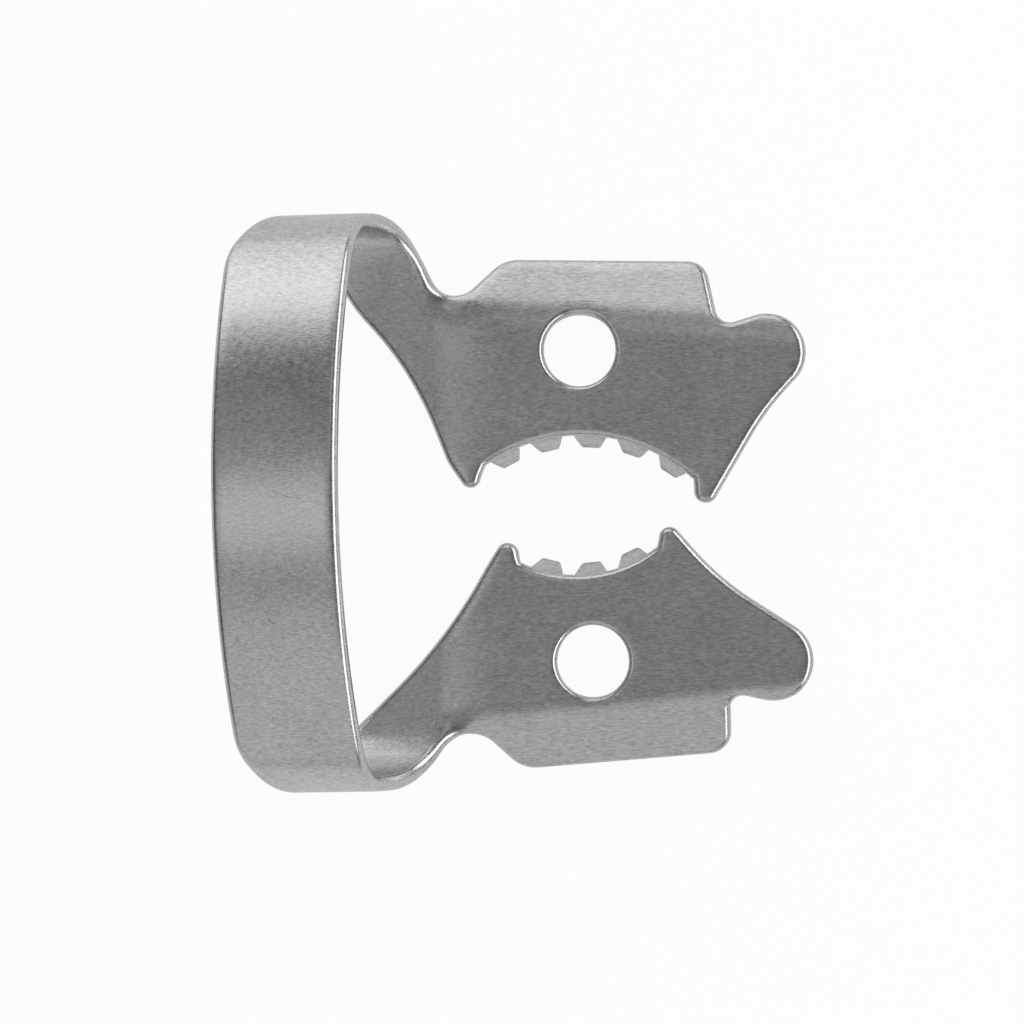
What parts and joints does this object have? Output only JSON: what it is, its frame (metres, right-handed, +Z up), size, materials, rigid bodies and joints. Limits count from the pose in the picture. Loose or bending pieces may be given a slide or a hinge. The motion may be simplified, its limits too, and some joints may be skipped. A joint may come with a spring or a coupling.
{
  "type": "rubber dam clamp",
  "caption": "Winged rubber dam clamp in spring steel: a high bow over serrated jaws that grip a molar and hold the dam.",
  "frame": {"origin": "middle of the clamp's outline on the flat surface that it rests on, bow up", "axes": "+X along the jaws, from the bow towards the front wings; +Y across the mouth, towards the wide jaw; +Z up, towards the bow's crown"},
  "size_m": [0.0268, 0.0264, 0.011],
  "materials": {
    "spring_steel": "satin, tumbled spring steel with a fine grain"
  },
  "bodies": {
    "root": {"clamp": "spring_steel"}
  },
  "joints": []
}
